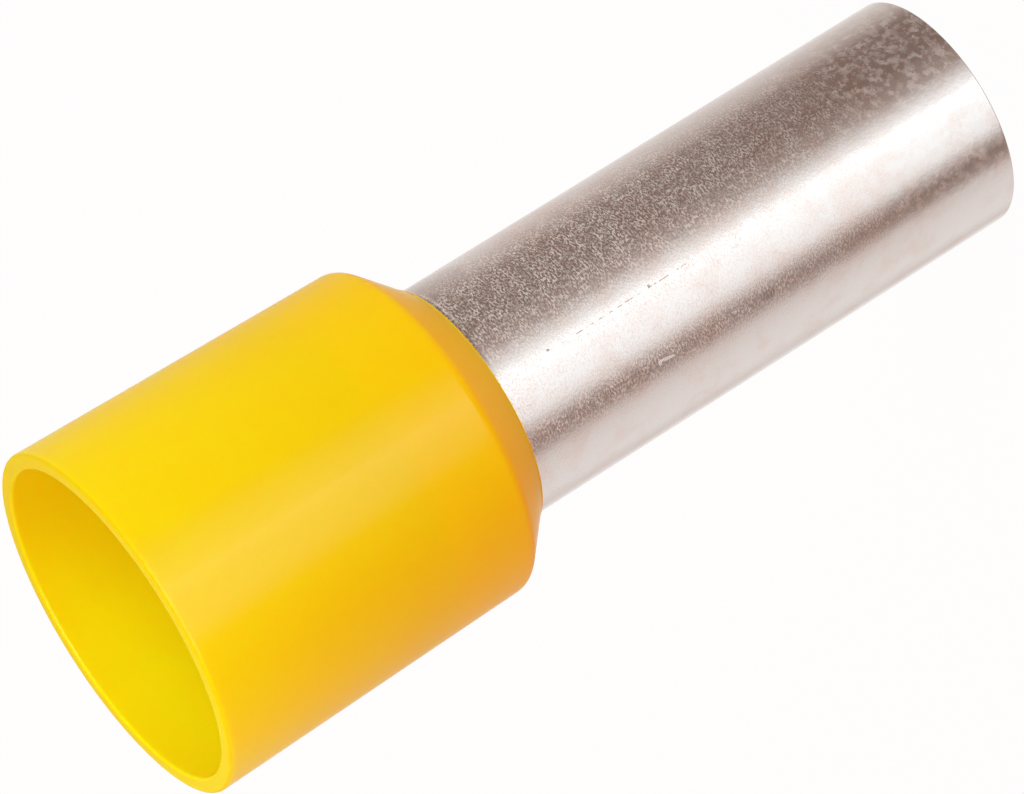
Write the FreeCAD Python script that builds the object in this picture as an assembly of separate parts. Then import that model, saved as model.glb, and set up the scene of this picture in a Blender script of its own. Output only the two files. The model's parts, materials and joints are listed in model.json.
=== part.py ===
import FreeCAD, Part
import math
import os

# Insulated wire ferrule for a stranded conductor of 25 square millimetres.
#
# A thin tinned copper sleeve is flared at one end, and a moulded collar of yellow plastic
# grips that flare. The bare strands go down the sleeve, the cable's insulation stops in the
# collar, and the sleeve is then crimped round the strands.
#
# The ferrule stands on the free end of its sleeve with its mouth up. The origin is the centre
# of that end, and +Z is the axis towards the mouth. Lengths are in millimetres, and angles
# are in degrees from the axis.

# Copper sleeve
sleeve_bore = 7.3
sleeve_wall = 0.3
barrel_length = 18.7           # bare sleeve, from its free end to the collar's nose
flare_angle = 17.0
flare_step = 0.8               # how far the rim of the flare stands out from the barrel
flare_bend_radius = 1.5        # on the outer face

# Outside of the plastic collar
collar_length = 12.8
insulation_room = 1.65         # thickness of cable insulation that the mouth takes
mouth_wall = 0.55
draft_angle = 1.2              # the collar narrows from its mouth to its shoulder
rim_outer_round = 0.14
rim_inner_round = 0.12
shoulder_round = 0.35
nose_angle = 46.0              # cone between the shoulder and the nose
nose_wall = 0.31               # thickness of the nose's edge round the sleeve
nose_land = 0.05               # straight outer edge of the nose
nose_blend_radius = 0.25

# Inside of the plastic collar
funnel_angle = 40.0            # leads the strands into the flare
lip_land = 0.2                 # straight edge of the lip that covers the flare's rim
neck_land = 0.15               # straight hole in the nose, up to the flare's bend
seat_clearance = 0.02          # between the collar's seat and the sleeve

# A round on one edge of a wall takes at most this share of the wall.
largest_round_share = 0.45

# Radii and heights that follow from the sizes above
sleeve_bore_radius = sleeve_bore / 2
barrel_radius = sleeve_bore_radius + sleeve_wall
mouth_bore_radius = sleeve_bore_radius + insulation_room
mouth_outer_radius = mouth_bore_radius + mouth_wall
nose_radius = barrel_radius + nose_wall
nose_height = barrel_length
bend_height = nose_height + neck_land
mouth_height = nose_height + collar_length


def slope(angle):
    """Rise in radius for each unit of height along a line at this angle from the axis."""
    return math.tan(math.radians(angle))


def bend_end(offset):
    """Radius and height where the flare's bend ends, on the face at this offset.

    An offset is measured outward from the sleeve's outer face. Every face of the bend turns
    about the same centre, so the wall keeps its thickness and the seat keeps its clearance.
    """
    centre_radius = barrel_radius + flare_bend_radius
    face_radius = flare_bend_radius - offset
    angle = math.radians(flare_angle)
    radius = centre_radius - face_radius * math.cos(angle)
    height = bend_height + face_radius * math.sin(angle)
    return radius, height


# The flare's outer face climbs from its bend until it stands out by the flare's step.
outer_bend_radius, outer_bend_height = bend_end(0)
rim_rise = (barrel_radius + flare_step - outer_bend_radius) / slope(flare_angle)
rim_height = outer_bend_height + rim_rise


def rim_radius(offset):
    """Radius at the flare's rim, on the face at this offset."""
    radius, height = bend_end(offset)
    return radius + (rim_height - height) * slope(flare_angle)


def flare_corners(offset):
    """The flare's bend and rim as corners of an outline, on the face at this offset."""
    face_radius = flare_bend_radius - offset
    corner_height = bend_height + face_radius * slope(flare_angle / 2)
    bend = (barrel_radius + offset, corner_height, face_radius)
    rim = (rim_radius(offset), rim_height, 0)
    return [bend, rim]


def edge_round(radius):
    """Round on an edge of the mouth's wall, which never takes the whole wall."""
    return min(radius, mouth_wall * largest_round_share)


def corner_arc(before, corner, after, radius):
    """Start, middle and end of the arc that rounds a corner of an outline."""
    to_before = (before - corner).normalize()
    to_after = (after - corner).normalize()
    half_angle = to_before.getAngle(to_after) / 2
    setback = radius / math.tan(half_angle)
    to_centre = (to_before + to_after).normalize()
    centre = corner + to_centre * (radius / math.sin(half_angle))
    start = corner + to_before * setback
    middle = centre - to_centre * radius
    end = corner + to_after * setback
    return start, middle, end


def revolved(corners):
    """Solid turned round +Z from a closed outline of (radius, height, corner round)."""
    points = [FreeCAD.Vector(radius, 0, height) for radius, height, _ in corners]
    arcs = []
    for index, (_, _, corner_round) in enumerate(corners):
        before = points[index - 1]
        after = points[(index + 1) % len(points)]
        arcs.append(corner_arc(before, points[index], after, corner_round))
    edges = []
    last_end = arcs[-1][-1]
    for (start, middle, end), (_, _, corner_round) in zip(arcs, corners):
        edges.append(Part.makeLine(last_end, start))
        if corner_round > 0:
            edges.append(Part.Arc(start, middle, end).toShape())
        last_end = end
    outline = Part.Face(Part.Wire(edges))
    origin = FreeCAD.Vector(0, 0, 0)
    axis = FreeCAD.Vector(0, 0, 1)
    return outline.revolve(origin, axis, 360)


def tinned_copper_sleeve():
    """Drawn tube, cut square at its free end and flared at the end inside the collar."""
    inner_face = [(sleeve_bore_radius, 0, 0)] + flare_corners(-sleeve_wall)
    outer_face = [(barrel_radius, 0, 0)] + flare_corners(0)
    return revolved(inner_face + outer_face[::-1])


def insulating_collar():
    """Moulded collar: drafted body, conical nose, and a funnel whose lip covers the flare."""
    # The nose's blend ends on its straight edge, and the cone starts at their corner.
    cone_foot = nose_height + nose_land + nose_blend_radius * slope(nose_angle / 2)
    # The shoulder is where the cone meets the drafted body.
    body_radius = mouth_outer_radius - (mouth_height - cone_foot) * slope(draft_angle)
    cone_rise = (body_radius - nose_radius) / (slope(nose_angle) - slope(draft_angle))
    shoulder_radius = nose_radius + cone_rise * slope(nose_angle)
    outside = [
        (nose_radius, nose_height, 0),
        (nose_radius, cone_foot, nose_blend_radius),
        (shoulder_radius, cone_foot + cone_rise, shoulder_round),
        (mouth_outer_radius, mouth_height, edge_round(rim_outer_round)),
    ]
    lip_radius = rim_radius(-sleeve_wall)
    funnel_foot = rim_height + lip_land
    funnel_top = funnel_foot + (mouth_bore_radius - lip_radius) / slope(funnel_angle)
    inside = [
        (mouth_bore_radius, mouth_height, edge_round(rim_inner_round)),
        (mouth_bore_radius, funnel_top, 0),
        (lip_radius, funnel_foot, 0),
        (lip_radius, rim_height, 0),
    ]
    neck = (barrel_radius + seat_clearance, nose_height, 0)
    seat = [neck] + flare_corners(seat_clearance)
    return revolved(outside + inside + seat[::-1])


os.makedirs("parts", exist_ok=True)
tinned_copper_sleeve().exportStep("parts/tinned_copper_sleeve.step")
insulating_collar().exportStep("parts/insulating_collar.step")
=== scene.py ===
import json
import math

import bmesh
import bpy
from bpy.props import FloatProperty, FloatVectorProperty, IntProperty, PointerProperty
from mathutils import Matrix, Quaternion, Vector


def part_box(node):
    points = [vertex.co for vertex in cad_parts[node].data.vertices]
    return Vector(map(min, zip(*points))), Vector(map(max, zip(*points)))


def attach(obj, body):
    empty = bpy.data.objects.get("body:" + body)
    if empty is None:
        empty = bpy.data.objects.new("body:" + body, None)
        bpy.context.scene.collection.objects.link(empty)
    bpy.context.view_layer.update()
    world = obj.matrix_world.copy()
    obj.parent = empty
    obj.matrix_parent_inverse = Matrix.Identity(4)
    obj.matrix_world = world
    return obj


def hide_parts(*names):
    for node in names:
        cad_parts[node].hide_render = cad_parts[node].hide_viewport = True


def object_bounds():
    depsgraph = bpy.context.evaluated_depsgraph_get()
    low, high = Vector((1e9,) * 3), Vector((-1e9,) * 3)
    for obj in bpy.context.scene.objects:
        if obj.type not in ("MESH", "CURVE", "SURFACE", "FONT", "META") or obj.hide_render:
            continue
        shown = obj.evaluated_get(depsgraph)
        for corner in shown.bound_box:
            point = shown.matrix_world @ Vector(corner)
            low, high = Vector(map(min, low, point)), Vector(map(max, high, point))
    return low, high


bl_info = {
    "name": "Wire Ferrule",
    "version": (1, 0, 0),
    "blender": (4, 5, 0),
    "location": "3D View > Sidebar > Ferrule",
    "description": "Builds an insulated wire ferrule and its studio",
    "category": "Add Mesh",
}

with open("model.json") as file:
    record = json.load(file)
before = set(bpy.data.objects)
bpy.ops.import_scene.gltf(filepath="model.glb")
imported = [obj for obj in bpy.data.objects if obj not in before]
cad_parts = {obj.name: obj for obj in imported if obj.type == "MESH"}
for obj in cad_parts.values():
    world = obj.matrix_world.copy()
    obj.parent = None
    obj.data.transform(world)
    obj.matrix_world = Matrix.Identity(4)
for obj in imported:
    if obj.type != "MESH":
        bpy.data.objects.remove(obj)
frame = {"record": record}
CAD_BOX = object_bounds()

SLEEVE_NODE = "tinned_copper_sleeve"
COLLAR_NODE = "insulating_collar"
MM = 0.001
LONGEST_RUN = 0.35 * MM

RIM_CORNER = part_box(SLEEVE_NODE)[1]
NOSE_CORNER, MOUTH_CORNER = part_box(COLLAR_NODE)


def mount_radius(name):
    """Radius in metres of one of the record's round mounts."""
    mount = next(mount for mount in frame["record"]["mounts"] if mount["name"] == name)
    return mount["dims"]["r_mm"] * MM


# Sizes that the solids fix, in metres. The axis is Z, and heights start at the sleeve's free end.
BARREL_RADIUS = mount_radius("contact_pin")
SLEEVE_BORE_RADIUS = mount_radius("conductor_bore")
MOUTH_BORE_RADIUS = mount_radius("insulation_bore")
SLEEVE_WALL = BARREL_RADIUS - SLEEVE_BORE_RADIUS
RIM_RADIUS = RIM_CORNER.x
RIM_HEIGHT = RIM_CORNER.z
NOSE_HEIGHT = NOSE_CORNER.z
MOUTH_RADIUS = MOUTH_CORNER.x
MOUTH_HEIGHT = MOUTH_CORNER.z


# Sizes and colours that a user would change

def length(name, description, default):
    """A size in metres for a property group."""
    return FloatProperty(name=name, description=description, default=default, min=0, unit="LENGTH",
                         precision=5)


def angle(name, description, degrees):
    """An angle for a property group, given in degrees."""
    return FloatProperty(name=name, description=description, default=math.radians(degrees),
                         subtype="ANGLE")


def amount(name, description, default, most=1.0):
    """A share or strength for a property group."""
    return FloatProperty(name=name, description=description, default=default, min=0, max=most)


def colour(name, description, default, most=1.0):
    """A linear colour for a property group."""
    return FloatVectorProperty(name=name, description=description, default=default, size=3,
                               min=0, max=most, subtype="COLOR")


class FerruleSleeve(bpy.types.PropertyGroup):
    """The tinned copper sleeve."""
    flare_angle: angle("Flare angle", "Angle of the flare from the axis", 17)
    neck_land: length("Neck land", "Straight sleeve between the nose and the flare's bend", 0.15 * MM)
    bend_radius: length("Bend radius", "Radius of the bend on the outer face", 1.5 * MM)
    edge_round: length("Edge round", "Round on the cut edges", 0.035 * MM)
    ripple: length("Draw ripple", "Height of the slow unevenness left by drawing the tube", 0.0025 * MM)
    tin: colour("Tin", "Colour of the tin plating", (0.99, 0.98, 0.97))
    warm_tin: colour("Warm tin", "Colour where copper warms the thin plating", (0.955, 0.87, 0.83))
    # Colour of the pits and the draw line, and also of the painted shade beside the nose and the
    # painted shadow ring below it.
    grime_and_shade: colour("Grime", "Colour in the pits and the draw line", (0.42, 0.36, 0.33))
    roughness: amount("Roughness", "Roughness of the plating", 0.13)
    dullness: amount("Dullness", "How far the dull grains scatter light like chalk", 0.47)
    grain: length("Grain", "Size of the plating's crystal grains", 0.11 * MM)
    grain_height: length("Grain height", "Height of the grains", 0.006 * MM)


class FerruleCollar(bpy.types.PropertyGroup):
    """The moulded plastic collar."""
    draft_angle: angle("Draft angle", "Taper of the body from its mouth to its shoulder", 1.2)
    nose_angle: angle("Nose angle", "Angle of the nose cone from the axis", 46)
    nose_wall: length("Nose wall", "Thickness of the nose's edge round the sleeve", 0.23 * MM)
    nose_land: length("Nose land", "Straight outer edge of the nose", 0.03 * MM)
    nose_blend: length("Nose blend", "Radius between the nose's edge and the cone", 0.04 * MM)
    shoulder_round: length("Shoulder round", "Radius of the shoulder", 0.45 * MM)
    rim_outer_round: length("Outer rim round", "Radius on the mouth's outer edge", 0.14 * MM)
    rim_inner_round: length("Inner rim round", "Radius on the mouth's inner edge", 0.12 * MM)
    funnel_angle: angle("Funnel angle", "Angle of the funnel from the axis", 40)
    funnel_round: length("Funnel round", "Radius between the bore and the funnel", 0.3 * MM)
    lip_land: length("Lip land", "Straight edge of the lip over the flare's rim", 0.2 * MM)
    lip_round: length("Lip round", "Radius between the funnel and the lip", 0.08 * MM)
    seat_clearance: length("Seat clearance", "Room between the seat and the sleeve", 0.02 * MM)
    ripple: length("Moulding ripple", "Height of the slow unevenness of the moulding", 0.004 * MM)
    plastic: colour("Plastic", "Colour of the plastic at the open mouth", (0.95, 0.685, 0.002))
    # Painted shade: a darker, deeper orange that the collar takes on towards the nose.
    shaded_plastic: colour("Deep plastic", "Colour over the flare, which dims it", (0.975, 0.572, 0.0015))
    # Painted light: a brighter colour in the bore.
    lit_bore_plastic: colour("Bore plastic", "Colour in the bore, lit through the wall", (1.0, 0.69, 0.003))
    # Painted shade: a darker colour on the mouth's rim.
    shaded_rim_plastic: colour("Rim plastic", "Colour of the matt rim", (0.84, 0.52, 0.0015))
    roughness: amount("Roughness", "Roughness of the plastic under its skin", 0.40)
    skin_roughness: amount("Skin roughness", "Roughness of the moulded skin", 0.06)
    translucence: amount("Translucence", "Share of light that wanders inside the plastic", 0.5)
    wander: length("Wander", "How far red light wanders inside the plastic", 1.5 * MM)


class FerruleStage(bpy.types.PropertyGroup):
    """The floor, the light and the camera."""
    floor_size: length("Floor size", "Side of the square floor", 6.0)
    floor: colour("Floor", "Colour of the floor", (1.0, 0.63, 0.60))
    floor_glow: amount("Floor glow", "Share of the floor's look that is plain white", 0.965)
    room: colour("Room light", "Light from all round", (0.745, 0.151, 0.150))
    overhead: colour("Overhead light", "Light from straight above", (0.64, 0.56, 0.46), most=4)
    ceiling: amount("Ceiling", "Brightness of the ceiling that gloss sees", 0.40)
    under: colour("Under light", "What gloss sees straight below", (0.29, 0.25, 0.20))
    key_power: FloatProperty(name="Key power", description="Power of the main lamp", default=0.480,
                             min=0, unit="POWER")
    key_colour: colour("Key colour", "Colour of the main lamp", (0.43, 1.0, 1.0))
    key_azimuth: angle("Key azimuth", "Direction of the main lamp, from the camera towards +X", 38)
    key_elevation: angle("Key elevation", "Height of the main lamp above the floor", 31)
    key_distance: length("Key distance", "Distance of the main lamp", 0.25)
    key_size: length("Key size", "Side of the main lamp", 0.16)
    back_power: FloatProperty(name="Back power", description="Power of the lamp behind the part",
                              default=0.22, min=0, unit="POWER")
    back_azimuth: angle("Back azimuth", "Direction of the back lamp, from the camera towards +X", 170)
    fill_power: FloatProperty(name="Fill power", description="Power of the small lamp over the mouth",
                              default=0.0050, min=0, unit="POWER")
    fill_colour: colour("Fill colour", "Colour of the small lamp", (0.60, 1.0, 0.9))
    fill_azimuth: angle("Fill azimuth", "Direction of the small lamp, from the camera towards +X", -62)
    fill_reach: length("Fill reach", "How far the small lamp is from the axis", 22 * MM)
    fill_height: length("Fill height", "Height of the small lamp over the mouth", 20 * MM)
    fill_size: length("Fill size", "Side of the small lamp", 16 * MM)
    camera_elevation: angle("Camera elevation", "Height of the camera above the floor", 20.688)
    camera_roll: angle("Camera roll", "Turn of the camera about its line of sight", -122.127)
    camera_distance: length("Camera distance", "Distance from the camera to its target", 180.72 * MM)
    target_x: FloatProperty(name="Target X", description="Point on which the camera is aimed",
                            default=-0.536 * MM, unit="LENGTH")
    target_z: FloatProperty(name="Target Z", description="Point on which the camera is aimed",
                            default=17.021 * MM, unit="LENGTH")
    lens: FloatProperty(name="Lens", description="Focal length in millimetres", default=209.0, min=1)
    segments: IntProperty(name="Segments", description="Divisions round the axis", default=384, min=32)


# Shader maths

class Value:
    """A number socket of a shader, for use in Python expressions."""

    def __init__(self, graph, socket):
        self.graph = graph
        self.socket = socket

    def maths(self, operation, *operands):
        """The result of a Math node on these operands."""
        inputs = dict(enumerate(operands))
        return self.graph.value("ShaderNodeMath", {"operation": operation}, inputs)

    def __add__(self, other):
        return self.maths("ADD", self, other)

    def __radd__(self, other):
        return self.maths("ADD", other, self)

    def __sub__(self, other):
        return self.maths("SUBTRACT", self, other)

    def __rsub__(self, other):
        return self.maths("SUBTRACT", other, self)

    def __mul__(self, other):
        return self.maths("MULTIPLY", self, other)

    def __rmul__(self, other):
        return self.maths("MULTIPLY", other, self)

    def __truediv__(self, other):
        return self.maths("DIVIDE", self, other)

    def __rtruediv__(self, other):
        return self.maths("DIVIDE", other, self)

    def __abs__(self):
        return self.maths("ABSOLUTE", self)

    def root(self):
        """The square root of the value."""
        return self.maths("SQRT", self)

    def clamp(self):
        """The value held between 0 and 1."""
        return self.maths("MINIMUM", self.maths("MAXIMUM", self, 0.0), 1.0)

    def atan2(self, other):
        """The angle whose tangent is this value over the other."""
        return self.maths("ARCTAN2", self, other)

    def ease(self, low, high):
        """A soft step from 0 at low to 1 at high."""
        settings = {"interpolation_type": "SMOOTHSTEP"}
        inputs = {"Value": self, "From Min": low, "From Max": high}
        return self.graph.value("ShaderNodeMapRange", settings, inputs)


class Graph:
    """The nodes of one material or of the world."""

    def __init__(self, owner):
        owner.use_nodes = True
        self.tree = owner.node_tree
        self.tree.nodes.clear()

    def node(self, kind, settings=None, inputs=None):
        """A node of this kind, with its settings made first and then its sockets filled."""
        node = self.tree.nodes.new(kind)
        for name, setting in (settings or {}).items():
            if name == "stops":
                self.set_stops(node, setting)
            else:
                setattr(node, name, setting)
        for name, given in (inputs or {}).items():
            if isinstance(given, Value):
                given = given.socket
            if isinstance(given, bpy.types.NodeSocket):
                self.tree.links.new(given, node.inputs[name])
            else:
                node.inputs[name].default_value = given
        return node

    def value(self, kind, settings=None, inputs=None, output=0):
        """One number output of a new node."""
        return Value(self, self.node(kind, settings, inputs).outputs[output])

    @staticmethod
    def set_stops(node, stops):
        """Gives a ramp its stops, as (place, colour) from low to high."""
        elements = node.color_ramp.elements
        while len(elements) < len(stops):
            elements.new(1.0)
        for element, (place, shade) in zip(elements, stops):
            element.position = place
            element.color = (*shade, 1.0)

    def blend(self, factor, first, second):
        """Colour between two colours."""
        sockets = {0: factor, 6: opaque(first), 7: opaque(second)}
        return self.node("ShaderNodeMix", {"data_type": "RGBA"}, sockets).outputs[2]

    def noise(self, where, size, detail=2.0, roughness=0.5):
        """Noise whose grains are about this size, as a number round 0.5."""
        sockets = {"Vector": where, "Scale": 1 / size, "Detail": detail, "Roughness": roughness}
        return self.value("ShaderNodeTexNoise", {}, sockets)


def opaque(shade):
    """A colour with alpha, or the socket that was given."""
    if isinstance(shade, (bpy.types.NodeSocket, Value)):
        return shade
    return (*shade, 1.0)


class Skin:
    """Places on the surface, read in the ferrule's own frame, for its materials."""

    def __init__(self, graph):
        self.graph = graph
        self.place = graph.node("ShaderNodeTexCoord").outputs["Object"]
        split = graph.node("ShaderNodeSeparateXYZ", {}, {"Vector": self.place})
        x = Value(graph, split.outputs["X"])
        y = Value(graph, split.outputs["Y"])
        self.height = Value(graph, split.outputs["Z"])
        self.radius = (x * x + y * y).root()
        # Turn round the axis in radians: 0 faces -Y, and +X is a quarter turn on.
        self.turn = x.atan2(0.0 - y)

    def spot(self, turn, height, half_round, half_along, lean=0.0):
        """A soft oval on the barrel, from degrees and millimetres, as a value from 0 to 1."""
        across = self.turn * BARREL_RADIUS - math.radians(turn) * BARREL_RADIUS
        along = self.height - height * MM
        across = (across - along * lean) / (half_round * MM)
        along = along / (half_along * MM)
        return 1.0 - (across * across + along * along).ease(0.5, 1.3)

    def unrolled(self, radius, along=1.0, round_axis=1.0):
        """The surface rolled out flat, in metres, with each direction stretched by its share."""
        sockets = {"X": self.turn * (radius * round_axis), "Y": self.height * along, "Z": self.radius}
        return self.graph.node("ShaderNodeCombineXYZ", {}, sockets).outputs[0]


# Outlines and turned meshes

def corner_points(before, corner, after, radius, steps=6):
    """The points of the arc that rounds a corner, or the corner itself."""
    if radius <= 0:
        return [corner]
    to_before = (before - corner).normalized()
    to_after = (after - corner).normalized()
    half_angle = to_before.angle(to_after) / 2
    bisector = (to_before + to_after).normalized()
    centre = corner + bisector * (radius / math.sin(half_angle))
    start = corner + to_before * (radius / math.tan(half_angle)) - centre
    end = corner + to_after * (radius / math.tan(half_angle)) - centre
    sweep = start.angle_signed(end)
    points = []
    for step in range(steps + 1):
        turned = start.copy()
        turned.rotate(Matrix.Rotation(-sweep * step / steps, 2))
        points.append(centre + turned)
    return points


def outline_points(corners):
    """A closed outline from (radius, height, corner round), with its straight runs divided."""
    places = [Vector((radius, height)) for radius, height, _ in corners]
    arcs = []
    for index, (_, _, corner_round) in enumerate(corners):
        after = places[(index + 1) % len(places)]
        arcs.append(corner_points(places[index - 1], places[index], after, corner_round))
    outline = []
    for index, arc in enumerate(arcs):
        start = arc[-1]
        run = arcs[(index + 1) % len(arcs)][0] - start
        outline.extend(arc)
        outline.extend(start + run * share for share in run_shares(run.length))
    return outline


def run_shares(run_length):
    """Where a straight run is divided. A point close to each end keeps the run's shading flat."""
    guard = min(0.2, 0.04 * MM / run_length)
    pieces = max(1, round(run_length / LONGEST_RUN))
    between = [share / pieces for share in range(1, pieces)]
    return [guard] + [share for share in between if guard < share < 1 - guard] + [1 - guard]


def turned_mesh(name, outline, segments, ripple):
    """A mesh turned round Z from a closed outline, with a slow unevenness of this height."""
    mesh = bpy.data.meshes.new(name)
    build = bmesh.new()
    rings = []
    for step in range(segments):
        turn = 2 * math.pi * step / segments
        ring = []
        for radius, height in outline:
            shifted = radius + ripple * unevenness(turn, height)
            ring.append(build.verts.new((shifted * math.sin(turn), -shifted * math.cos(turn), height)))
        rings.append(ring)
    for step in range(segments):
        here = rings[step]
        beyond = rings[(step + 1) % segments]
        for index in range(len(outline)):
            following = (index + 1) % len(outline)
            build.faces.new((here[index], here[following], beyond[following], beyond[index]))
    bmesh.ops.recalc_face_normals(build, faces=build.faces)
    build.to_mesh(mesh)
    build.free()
    mesh.polygons.foreach_set("use_smooth", [True] * len(mesh.polygons))
    return mesh


def unevenness(turn, height):
    """Slow waves round and along a drawn or moulded wall, between about -1 and 1."""
    along = height / MM
    oval = math.cos(2 * turn + 0.7)
    waves = math.sin(3 * turn + 0.31 * along) * math.sin(0.9 * along + 1.1)
    ripples = math.sin(7 * turn - 0.83 * along + 0.4) * math.cos(1.7 * along)
    return 0.5 * oval + 0.3 * waves + 0.2 * ripples


def add_piece(name, mesh, material, node):
    """Shows the mesh in place of the CAD node, riding on the same body."""
    piece = bpy.data.objects.new(name, mesh)
    bpy.context.scene.collection.objects.link(piece)
    mesh.materials.append(material)
    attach(piece, "root")
    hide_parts(node)
    return piece


# The flare, which the sleeve and the collar's seat share

def flare_corners(sleeve, offset):
    """The flare's bend and rim as corners, on the face at this offset from the outer face."""
    slope = math.tan(sleeve.flare_angle)
    bend_height = NOSE_HEIGHT + sleeve.neck_land
    face_radius = sleeve.bend_radius - offset
    end_radius = BARREL_RADIUS + sleeve.bend_radius - face_radius * math.cos(sleeve.flare_angle)
    end_height = bend_height + face_radius * math.sin(sleeve.flare_angle)
    corner_height = bend_height + face_radius * math.tan(sleeve.flare_angle / 2)
    bend = (BARREL_RADIUS + offset, corner_height, face_radius)
    rim = (end_radius + (RIM_HEIGHT - end_height) * slope, RIM_HEIGHT, 0)
    return [bend, rim]


def sleeve_outline(sleeve):
    """Outline of the tinned sleeve: bore, flare, rim and barrel."""
    inner_bend, inner_rim = flare_corners(sleeve, -SLEEVE_WALL)
    outer_bend, outer_rim = flare_corners(sleeve, 0)
    edge = sleeve.edge_round
    corners = [
        (SLEEVE_BORE_RADIUS, 0, edge),
        inner_bend,
        (*inner_rim[:2], edge),
        (*outer_rim[:2], edge),
        outer_bend,
        (BARREL_RADIUS, 0, edge),
    ]
    return outline_points(corners)


def collar_outline(sleeve, collar):
    """Outline of the collar: nose, shoulder, drafted body, mouth, bore, funnel, lip and seat."""
    nose_slope = math.tan(collar.nose_angle)
    draft_slope = math.tan(collar.draft_angle)
    nose_radius = BARREL_RADIUS + collar.nose_wall
    cone_foot = NOSE_HEIGHT + collar.nose_land + collar.nose_blend * math.tan(collar.nose_angle / 2)
    body_radius = MOUTH_RADIUS - (MOUTH_HEIGHT - cone_foot) * draft_slope
    cone_rise = (body_radius - nose_radius) / (nose_slope - draft_slope)
    lip_radius = flare_corners(sleeve, -SLEEVE_WALL)[1][0]
    funnel_foot = RIM_HEIGHT + collar.lip_land
    funnel_top = funnel_foot + (MOUTH_BORE_RADIUS - lip_radius) / math.tan(collar.funnel_angle)
    edge = sleeve.edge_round
    seat_bend, seat_rim = flare_corners(sleeve, collar.seat_clearance)
    corners = [
        (nose_radius, NOSE_HEIGHT, edge / 2),
        (nose_radius, cone_foot, collar.nose_blend),
        (nose_radius + cone_rise * nose_slope, cone_foot + cone_rise, collar.shoulder_round),
        (MOUTH_RADIUS, MOUTH_HEIGHT, collar.rim_outer_round),
        (MOUTH_BORE_RADIUS, MOUTH_HEIGHT, collar.rim_inner_round),
        (MOUTH_BORE_RADIUS, funnel_top, collar.funnel_round),
        (lip_radius, funnel_foot, collar.lip_round),
        (lip_radius, RIM_HEIGHT, 0),
        seat_rim,
        seat_bend,
        (BARREL_RADIUS + collar.seat_clearance, NOSE_HEIGHT, 0),
    ]
    return outline_points(corners)


# Materials

def tinned_finish(sleeve):
    """Tin plating with dull crystal grains and the marks of drawing, pressing and handling, with
    painted shade beside the collar's nose and a painted shadow ring below it.
    """
    material = bpy.data.materials.new("tinned_copper")
    graph = Graph(material)
    skin = Skin(graph)
    flat = skin.unrolled(BARREL_RADIUS)
    hoops = skin.unrolled(BARREL_RADIUS, along=1.9)
    fine = graph.noise(hoops, sleeve.grain, detail=3.0, roughness=0.65)
    coarse = graph.noise(flat, sleeve.grain * 2.2, detail=3.0, roughness=0.6)
    near_nose = skin.height.ease(1 * MM, 7 * MM)
    grain = fine * near_nose + coarse * (1.0 - near_nose)
    patches = graph.noise(flat, 0.9 * MM, detail=3.0, roughness=0.6)
    clouds = graph.noise(flat, 3.2 * MM, detail=2.0)
    clumps = graph.noise(flat, 0.4 * MM, detail=2.0)
    toward_nose = skin.height.ease(1 * MM, 0.8 * NOSE_HEIGHT) * 0.6 + 0.4
    smooth_side = math.radians(-71.6)
    off_smooth_side = abs(skin.turn - smooth_side).ease(0.35, 0.85) * 0.75 + 0.25
    share = (clumps.ease(0.3, 0.65) * 0.6 + 0.4) * toward_nose * off_smooth_side
    dull = grain.ease(0.44, 0.60) * share

    # Single marks, by their turn in degrees and their height in millimetres.
    line = draw_line(graph, skin)
    pits = skin.spot(1.2, 16.75, 0.035, 0.05) + skin.spot(1.5, 12.9, 0.05, 0.04)
    nick = (skin.spot(-31, 13.42, 0.05, 0.28, lean=0.15) + skin.spot(-31.2, 13.68, 0.07, 0.06)).clamp()
    rubbed = skin.spot(-31, 9.5, 0.16, 0.26)
    # Painted shade: a soft dark patch on the sleeve beside the collar's nose.
    painted_nose_shade = skin.spot(66, 18.1, 1.1, 1.3) * (patches.ease(0.2, 0.7) * 0.5 + 0.5)
    # The bright ring is a scuff. The dark ring beside it is a painted contact shadow.
    scuff, painted_shadow_ring = nose_scuff_and_shadow(graph, skin)
    # Real marks (the draw line and the pits) together with the painted shadow ring.
    marks_and_painted_shadow = (line * 0.55 + pits + painted_shadow_ring * 0.5).clamp()

    warm = (patches * 0.6 + clouds * 0.4).ease(0.45, 0.62)
    tint = graph.blend((warm * 0.7 + dull * 0.4).clamp(), sleeve.tin, sleeve.warm_tin)
    tint = graph.blend(marks_and_painted_shadow * 0.7, tint, sleeve.grime_and_shade)
    tint = graph.blend(rubbed * 0.25 + painted_nose_shade * 0.3, tint, sleeve.grime_and_shade)
    rough = sleeve.roughness + dull * 0.25 + (clouds - 0.5) * 0.04
    rough = rough + nick * 0.4 + marks_and_painted_shadow * 0.2 - rubbed * 0.05
    shine = 1.0 - dull * sleeve.dullness - nick * 0.1 - scuff * 0.3
    raised = nick * (0.014 * MM) + scuff * (0.006 * MM)
    relief = grain * sleeve.grain_height - marks_and_painted_shadow * (0.008 * MM) + raised
    bump = graph.node("ShaderNodeBump", {}, {"Strength": 1.0, "Distance": 1.0, "Height": relief})
    sockets = {
        "Base Color": tint,
        "Metallic": shine.clamp(),
        "Roughness": rough.clamp(),
        "Normal": bump.outputs[0],
    }
    finish_material(graph, sockets)
    return material


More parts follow.
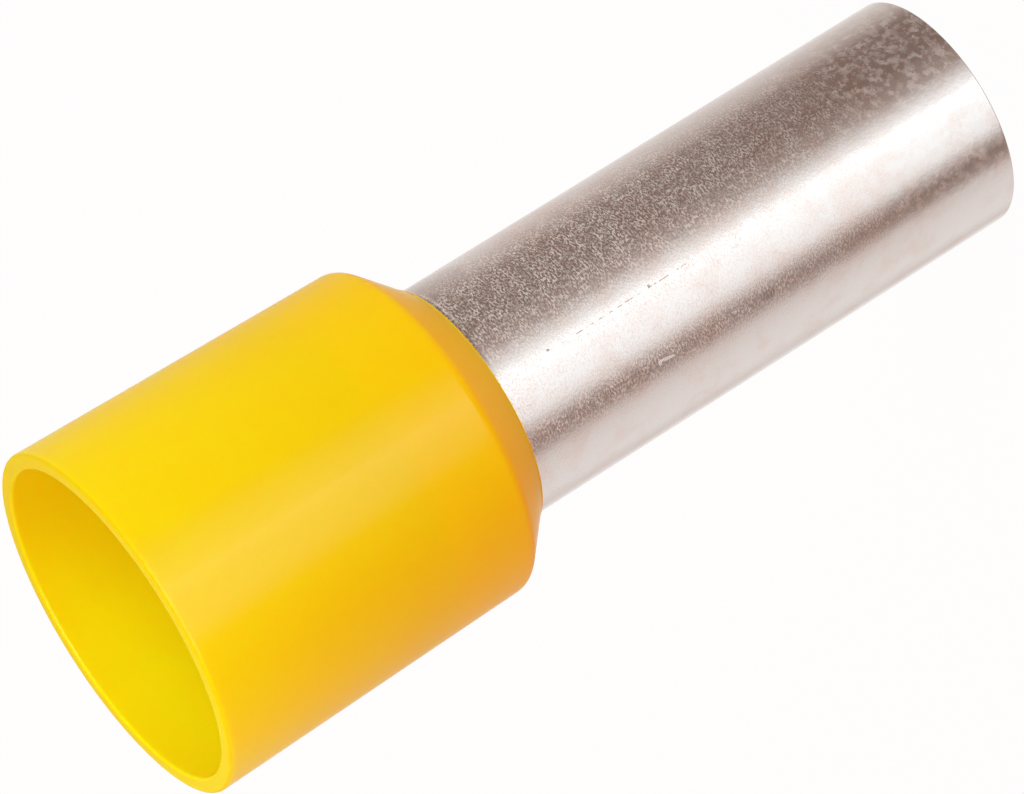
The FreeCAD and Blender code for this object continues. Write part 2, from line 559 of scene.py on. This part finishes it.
def nose_scuff_and_shadow(graph, skin):
    """A bright broken ring where the nose was pressed on, and a dark ring of painted contact shadow
    between it and the nose.
    """
    gap = NOSE_HEIGHT - skin.height
    broken = graph.noise(skin.unrolled(BARREL_RADIUS, along=0.3), 0.7 * MM, detail=3.0).ease(0.42, 0.6)
    broken = broken * skin.turn.ease(0.0, 0.3)
    bright = (1.0 - abs(gap - 0.25 * MM).ease(0.015 * MM, 0.045 * MM)) * broken
    # Painted contact shadow: a dark ring just below the nose.
    dull = (1.0 - abs(gap - 0.14 * MM).ease(0.04 * MM, 0.07 * MM)) * skin.turn.ease(0.0, 0.3)
    return bright, dull


def draw_line(graph, skin):
    """A hair-thin broken line along the sleeve, where the drawing die marked it."""
    along = skin.height
    drift = graph.noise(skin.unrolled(BARREL_RADIUS, round_axis=0.0), 3 * MM, detail=1.0) * (0.12 * MM)
    away = abs(skin.turn * BARREL_RADIUS - drift)
    thin = 1.0 - away.ease(0.004 * MM, 0.022 * MM)
    dashes = graph.noise(skin.unrolled(BARREL_RADIUS, round_axis=0.0), 0.16 * MM, detail=2.0)
    stretch = along.ease(10.4 * MM, 12.0 * MM) * (1.0 - along.ease(16.2 * MM, 17.0 * MM))
    return thin * dashes.ease(0.47, 0.58) * stretch


def plastic_finish(collar):
    """Moulded plastic with a half glossy skin, with painted shade that darkens it towards the nose and
    on the rim, painted light in the bore, and a matt rim.
    """
    material = bpy.data.materials.new("yellow_plastic")
    graph = Graph(material)
    skin = Skin(graph)
    cloud = graph.noise(skin.place, 2.5 * MM, detail=3.0)
    fine = graph.noise(skin.place, 0.12 * MM, detail=3.0, roughness=0.6)
    peel = graph.noise(skin.place, 0.5 * MM, detail=1.0)
    rim = skin.height.ease(MOUTH_HEIGHT - 0.12 * MM, MOUTH_HEIGHT - 0.03 * MM)
    # Painted light: the bore is given a brighter colour.
    painted_bore_light = 1.0 - skin.radius.ease(MOUTH_BORE_RADIUS + 0.02 * MM, MOUTH_BORE_RADIUS + 0.10 * MM)
    painted_bore_light = painted_bore_light * skin.height.ease(RIM_HEIGHT, RIM_HEIGHT + 1 * MM)
    # Painted shade: the colour darkens towards the nose, with some random unevenness.
    shade_toward_nose = (MOUTH_HEIGHT - skin.height) / (MOUTH_HEIGHT - NOSE_HEIGHT) + (cloud - 0.5) * 0.3
    tint = graph.blend(shade_toward_nose.clamp(), collar.plastic, collar.shaded_plastic)
    tint = graph.blend(painted_bore_light, tint, collar.lit_bore_plastic)
    # Painted shade: the rim is given a darker colour. Its added roughness makes it matt.
    tint = graph.blend(rim * (1.0 - painted_bore_light), tint, collar.shaded_rim_plastic)
    rough = collar.roughness + rim * 0.3 + (fine - 0.5) * 0.10 + (cloud - 0.5) * 0.05
    relief = fine * (0.0003 * MM) + peel * (0.0008 * MM)
    bump = graph.node("ShaderNodeBump", {}, {"Strength": 1.0, "Distance": 1.0, "Height": relief})
    facing = graph.value("ShaderNodeLayerWeight", {}, {"Blend": 0.5}, output="Facing")
    skin_gloss = 1.0 - facing.ease(0.066, 0.11) * 0.94 + facing.ease(0.8, 0.95) * 0.2
    sockets = {
        "Base Color": tint,
        "Roughness": rough.clamp(),
        "IOR": 1.49,
        "Specular IOR Level": 0.55,
        "Specular Tint": (0.35, 1.0, 0.08, 1.0),
        "Coat Weight": skin_gloss * (1.05 - fine * 0.2),
        "Coat Roughness": collar.skin_roughness,
        "Coat IOR": 1.5,
        "Subsurface Weight": collar.translucence,
        "Subsurface Radius": (1.0, 0.15, 0.03),
        "Subsurface Scale": collar.wander,
        "Normal": bump.outputs[0],
    }
    finish_material(graph, sockets)
    return material


def finish_material(graph, sockets):
    """Ends a material in one Principled shader."""
    shader = graph.node("ShaderNodeBsdfPrincipled", {}, sockets)
    graph.node("ShaderNodeOutputMaterial", {}, {"Surface": shader.outputs[0]})


# Stage

# Brightness of the studio by its turn in degrees, from the camera towards +X: a soft box beside
# the camera, a dark gap on each side of it, and pale walls behind the part.
STUDIO = [
    (-180, 1.0),
    (-164, 0.82),
    (-150, 0.63),
    (-130, 0.74),
    (-100, 0.70),
    (-81, 0.61),
    (-70, 0.31),
    (-60, 0.23),
    (-50, 0.46),
    (-40, 0.84),
    (-24, 0.98),
    (-10, 1.02),
    (-4, 1.25),
    (1, 1.4),
    (5, 1.02),
    (12, 0.80),
    (30, 0.34),
    (55, 0.20),
    (98, 0.22),
    (116, 0.43),
    (138, 0.58),
    (160, 0.74),
    (180, 1.0),
]


def warmed(level):
    """The colour of a wall of this brightness: the darker it is, the warmer."""
    if level >= 1:
        return (level, level, level)
    return (level, level ** 1.25, level ** 1.37)


def studio_world(stage):
    """Plain light all round, and the studio's soft box and walls for gloss."""
    world = bpy.data.worlds.new("studio")
    bpy.context.scene.world = world
    world.cycles.sampling_method = "NONE"
    graph = Graph(world)
    direction = graph.node("ShaderNodeTexCoord").outputs["Generated"]
    split = graph.node("ShaderNodeSeparateXYZ", {}, {"Vector": direction})
    x = Value(graph, split.outputs["X"])
    y = Value(graph, split.outputs["Y"])
    z = Value(graph, split.outputs["Z"])
    turn = x.atan2(0.0 - y) / (2 * math.pi) + 0.5
    stops = [((degrees + 180) / 360, warmed(level)) for degrees, level in STUDIO]
    walls = graph.node("ShaderNodeValToRGB", {"stops": stops}, {"Fac": turn}).outputs["Color"]
    gloss = graph.blend(z.ease(0.7, 0.95), walls, warmed(stage.ceiling))
    gloss = graph.blend((0.0 - z).ease(0.5, 0.9), gloss, stage.under)
    path = graph.node("ShaderNodeLightPath")
    is_gloss = Value(graph, path.outputs["Is Glossy Ray"])
    is_camera = Value(graph, path.outputs["Is Camera Ray"])
    is_through = Value(graph, path.outputs["Is Transmission Ray"])
    plain = graph.blend(z.ease(0.4, 0.9), stage.room, stage.overhead)
    shade = graph.blend(is_gloss, plain, gloss)
    shade = graph.blend((is_camera + is_through).clamp(), shade, (1.0, 1.0, 1.0))
    background = graph.node("ShaderNodeBackground", {}, {"Color": shade})
    graph.node("ShaderNodeOutputWorld", {}, {"Surface": background.outputs[0]})


def floor_finish(stage):
    """Pale floor whose look to the camera is mostly plain white, so that its shadow is faint."""
    material = bpy.data.materials.new("floor")
    graph = Graph(material)
    path = graph.node("ShaderNodeLightPath")
    is_camera = Value(graph, path.outputs["Is Camera Ray"])
    is_through = Value(graph, path.outputs["Is Transmission Ray"])
    matte = graph.node("ShaderNodeBsdfDiffuse", {}, {"Color": opaque(stage.floor)}).outputs[0]
    white = graph.node("ShaderNodeEmission", {}, {"Color": (1, 1, 1, 1), "Strength": 1.0}).outputs[0]
    share = (is_camera + is_through).clamp() * stage.floor_glow
    mixed = graph.node("ShaderNodeMixShader", {}, {0: share, 1: matte, 2: white})
    graph.node("ShaderNodeOutputMaterial", {}, {"Surface": mixed.outputs[0]})
    return material


def add_floor(stage):
    """The floor on which the ferrule stands. Gloss sees the studio's pale walls in its place."""
    mesh = bpy.data.meshes.new("floor")
    half = stage.floor_size / 2
    corners = [(-half, -half, 0), (half, -half, 0), (half, half, 0), (-half, half, 0)]
    mesh.from_pydata(corners, [], [(0, 1, 2, 3)])
    mesh.materials.append(floor_finish(stage))
    floor = bpy.data.objects.new("floor", mesh)
    floor.visible_glossy = False
    bpy.context.scene.collection.objects.link(floor)


def add_lamp(name, power, shade, size, place, aim):
    """A square soft lamp. Gloss and the camera don't see it, because the studio stands for it."""
    lamp = bpy.data.lights.new(name, "AREA")
    lamp.energy = power
    lamp.color = shade
    lamp.size = size
    holder = bpy.data.objects.new(name, lamp)
    holder.location = place
    holder.rotation_euler = (aim - place).to_track_quat("-Z", "Y").to_euler()
    holder.visible_glossy = False
    holder.visible_camera = False
    bpy.context.scene.collection.objects.link(holder)


def add_main_lamps(stage):
    """The key lamp, on the camera's +X side, and its like behind the part."""
    aim = Vector((0, 0, (CAD_BOX[0].z + CAD_BOX[1].z) / 2))
    reach = stage.key_distance * math.cos(stage.key_elevation)
    rise = Vector((0, 0, stage.key_distance * math.sin(stage.key_elevation)))
    lamps = {
        "key_lamp": (stage.key_azimuth, stage.key_power),
        "back_lamp": (stage.back_azimuth, stage.back_power),
    }
    for name, (azimuth, power) in lamps.items():
        place = aim + level_direction(azimuth) * reach + rise
        add_lamp(name, power, stage.key_colour, stage.key_size, place, aim)


def add_fill_lamp(stage):
    """A small lamp close over the mouth, which fades down the collar's darker side."""
    aim = Vector((0, 0, MOUTH_HEIGHT))
    rise = Vector((0, 0, stage.fill_height))
    place = aim + level_direction(stage.fill_azimuth) * stage.fill_reach + rise
    add_lamp("fill_lamp", stage.fill_power, stage.fill_colour, stage.fill_size, place, aim)


def level_direction(azimuth):
    """Level direction at this turn from the camera's side towards +X."""
    return Vector((math.sin(azimuth), -math.cos(azimuth), 0))


def add_camera(stage):
    """The camera, aimed down at the part and rolled so that the part lies across the picture."""
    camera = bpy.data.cameras.new("camera")
    camera.lens = stage.lens
    camera.sensor_width = 36
    camera.clip_start = 0.005
    camera.clip_end = 20
    holder = bpy.data.objects.new("camera", camera)
    back = Vector((0, -math.cos(stage.camera_elevation), math.sin(stage.camera_elevation)))
    target = Vector((stage.target_x, 0, stage.target_z))
    holder.location = target + back * stage.camera_distance
    level = (-back).to_track_quat("-Z", "Y")
    holder.rotation_mode = "QUATERNION"
    holder.rotation_quaternion = level @ Quaternion((0, 0, 1), stage.camera_roll)
    bpy.context.scene.collection.objects.link(holder)
    bpy.context.scene.camera = holder


# Operators

class FERRULE_OT_sleeve(bpy.types.Operator):
    """Builds the tinned copper sleeve"""
    bl_idname = "ferrule.sleeve"
    bl_label = "Tinned Sleeve"

    def execute(self, context):
        sleeve = context.scene.ferrule_sleeve
        segments = context.scene.ferrule_stage.segments
        mesh = turned_mesh("tinned_sleeve", sleeve_outline(sleeve), segments, sleeve.ripple)
        add_piece("tinned_sleeve", mesh, tinned_finish(sleeve), SLEEVE_NODE)
        return {"FINISHED"}


class FERRULE_OT_collar(bpy.types.Operator):
    """Builds the moulded plastic collar"""
    bl_idname = "ferrule.collar"
    bl_label = "Plastic Collar"

    def execute(self, context):
        collar = context.scene.ferrule_collar
        segments = context.scene.ferrule_stage.segments
        outline = collar_outline(context.scene.ferrule_sleeve, collar)
        mesh = turned_mesh("moulded_collar", outline, segments, collar.ripple)
        add_piece("moulded_collar", mesh, plastic_finish(collar), COLLAR_NODE)
        return {"FINISHED"}


class FERRULE_OT_stage(bpy.types.Operator):
    """Builds the floor, the light and the camera"""
    bl_idname = "ferrule.stage"
    bl_label = "Stage"

    def execute(self, context):
        stage = context.scene.ferrule_stage
        studio_world(stage)
        add_floor(stage)
        add_main_lamps(stage)
        add_fill_lamp(stage)
        add_camera(stage)
        context.scene.view_settings.view_transform = "Standard"
        return {"FINISHED"}


class FERRULE_PT_panel(bpy.types.Panel):
    """Lists the ferrule's pieces"""
    bl_idname = "FERRULE_PT_panel"
    bl_label = "Wire Ferrule"
    bl_space_type = "VIEW_3D"
    bl_region_type = "UI"
    bl_category = "Ferrule"

    def draw(self, context):
        for operator in OPERATORS:
            self.layout.operator(operator.bl_idname)


GROUPS = {
    "ferrule_sleeve": FerruleSleeve,
    "ferrule_collar": FerruleCollar,
    "ferrule_stage": FerruleStage,
}
OPERATORS = [FERRULE_OT_stage, FERRULE_OT_sleeve, FERRULE_OT_collar]


def register():
    """Adds the classes and the scene's settings."""
    for kind in [*GROUPS.values(), *OPERATORS, FERRULE_PT_panel]:
        bpy.utils.register_class(kind)
    for name, group in GROUPS.items():
        setattr(bpy.types.Scene, name, PointerProperty(type=group))


def unregister():
    """Removes what register added."""
    for name in GROUPS:
        delattr(bpy.types.Scene, name)
    for kind in [FERRULE_PT_panel, *reversed(OPERATORS), *reversed(GROUPS.values())]:
        bpy.utils.unregister_class(kind)


def main():
    """Builds everything."""
    register()
    bpy.ops.ferrule.stage()
    bpy.ops.ferrule.sleeve()
    bpy.ops.ferrule.collar()


if __name__ == "__main__":
    main()
